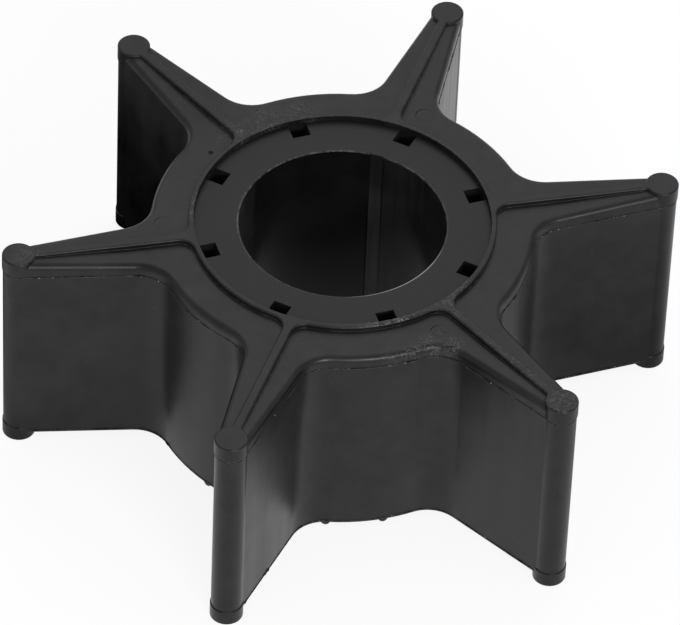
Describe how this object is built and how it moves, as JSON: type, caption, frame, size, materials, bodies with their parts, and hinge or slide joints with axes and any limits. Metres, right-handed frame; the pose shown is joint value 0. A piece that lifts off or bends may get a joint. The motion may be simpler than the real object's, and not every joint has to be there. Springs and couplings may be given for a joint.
{
  "type": "pump impeller",
  "caption": "Flexible rubber pump impeller: straight radial vanes with beaded tips around a moulded hub, on a hard bush with a plain through bore.",
  "frame": {"origin": "on the bore's axis, in the plane of the lower bead ends", "axes": "+Z along the bore towards the face with the round gate marks, +X through the middle of one vane"},
  "size_m": [0.066, 0.0576, 0.0239],
  "materials": {
    "rubber": "satin",
    "bush": "matte"
  },
  "bodies": {
    "root": {"vane_body": "rubber", "hub_insert": "bush"}
  },
  "joints": []
}
